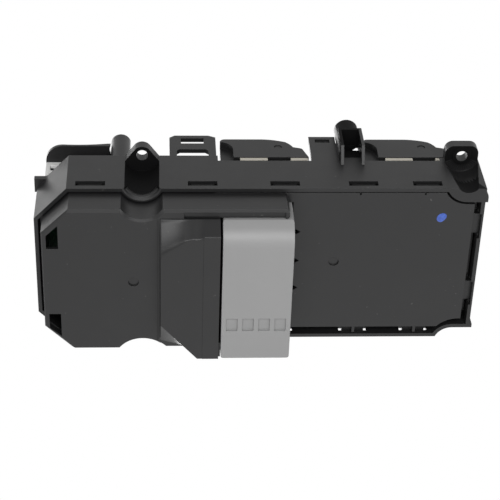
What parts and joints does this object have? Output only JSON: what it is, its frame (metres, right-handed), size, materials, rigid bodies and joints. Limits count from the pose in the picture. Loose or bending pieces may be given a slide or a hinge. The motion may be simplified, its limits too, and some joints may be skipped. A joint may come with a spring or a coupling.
{
  "type": "power window switch",
  "caption": "Vehicle door master switch module: black housing with screw ears and clip posts, rear cover, grey connector shroud, window rockers, lock and mirror controls.",
  "frame": {"origin": "centre of the screw-ear pattern, on the ears' upper faces", "axes": "+X towards the rear of the vehicle, +Z out of the armrest towards the fingers, -Y is the side with the clip frame and guide post"},
  "size_m": [0.2069, 0.0998, 0.0713],
  "materials": {
    "housing_plastic": "fine grain, satin black",
    "cover_plastic": "smooth satin black",
    "connector_plastic": "smooth light grey",
    "pin_metal": "tinned",
    "board": "green solder mask",
    "screw_steel": "zinc plated",
    "contact_plastic": "dull",
    "relay_plastic": "smooth",
    "chip_plastic": "dull",
    "capacitor_metal": "satin",
    "button_plastic": "soft satin black",
    "white_plastic": "smooth white",
    "ivory_plastic": "smooth ivory"
  },
  "bodies": {
    "module": {"upper_housing": "housing_plastic", "base_cover": "cover_plastic", "connector_header": "connector_plastic", "connector_pins": "pin_metal", "circuit_board": "board", "board_screws": "screw_steel", "switch_units": "contact_plastic", "relays": "relay_plastic", "processor_chip": "chip_plastic", "capacitors": "capacitor_metal"},
    "front_left_window_control": {"front_left_rocker": "button_plastic", "front_left_actuator": "ivory_plastic"},
    "front_right_window_control": {"front_right_rocker": "button_plastic", "front_right_actuator": "ivory_plastic"},
    "rear_left_window_control": {"rear_left_rocker": "button_plastic", "rear_left_actuator": "ivory_plastic"},
    "rear_right_window_control": {"rear_right_rocker": "button_plastic", "rear_right_actuator": "ivory_plastic"},
    "door_lock_control": {"door_lock_rocker": "button_plastic", "door_lock_carrier": "white_plastic"},
    "window_lock_control": {"window_lock_button": "button_plastic"},
    "mirror_ring": {"mirror_gimbal": "white_plastic"},
    "mirror_control": {"mirror_pad": "button_plastic"},
    "mirror_selector_control": {"mirror_selector": "button_plastic"}
  },
  "joints": [
    {"name": "front_left_window_rock", "type": "hinge", "parent": "module", "child": "front_left_window_control", "pos_m": [-0.0102, -0.0253, 0.0119], "axis": [0, 1, 0], "range_deg": [-6, 6], "stiffness_Nm_per_rad": 0.5},
    {"name": "front_right_window_rock", "type": "hinge", "parent": "module", "child": "front_right_window_control", "pos_m": [-0.0102, 0.0253, 0.0119], "axis": [0, 1, 0], "range_deg": [-6, 6], "stiffness_Nm_per_rad": 0.5},
    {"name": "rear_left_window_rock", "type": "hinge", "parent": "module", "child": "rear_left_window_control", "pos_m": [0.0577, -0.0253, 0.0119], "axis": [0, 1, 0], "range_deg": [-6, 6], "stiffness_Nm_per_rad": 0.5},
    {"name": "rear_right_window_rock", "type": "hinge", "parent": "module", "child": "rear_right_window_control", "pos_m": [0.0577, 0.0253, 0.0119], "axis": [0, 1, 0], "range_deg": [-6, 6], "stiffness_Nm_per_rad": 0.5},
    {"name": "door_lock_rock", "type": "hinge", "parent": "module", "child": "door_lock_control", "pos_m": [-0.104, -0.0234, 0.008], "axis": [0, 1, 0], "range_deg": [-4, 4], "stiffness_Nm_per_rad": 0.4},
    {"name": "window_lock_push", "type": "slide", "parent": "module", "child": "window_lock_control", "axis": [0, 0, 1], "range_m": [-0.0025, 0], "stiffness_N_per_m": 400, "springref_m": 0.001},
    {"name": "mirror_tilt_up_down", "type": "hinge", "parent": "module", "child": "mirror_ring", "pos_m": [-0.098, 0.017, 0.0042], "axis": [1, 0, 0], "range_deg": [-7, 7], "stiffness_Nm_per_rad": 0.15},
    {"name": "mirror_tilt_left_right", "type": "hinge", "parent": "mirror_ring", "child": "mirror_control", "pos_m": [-0.098, 0.017, 0.0042], "axis": [0, 1, 0], "range_deg": [-7, 7], "stiffness_Nm_per_rad": 0.15},
    {"name": "mirror_selector_slide", "type": "slide", "parent": "module", "child": "mirror_selector_control", "axis": [1, 0, 0], "range_m": [-0.003, 0.003]}
  ]
}
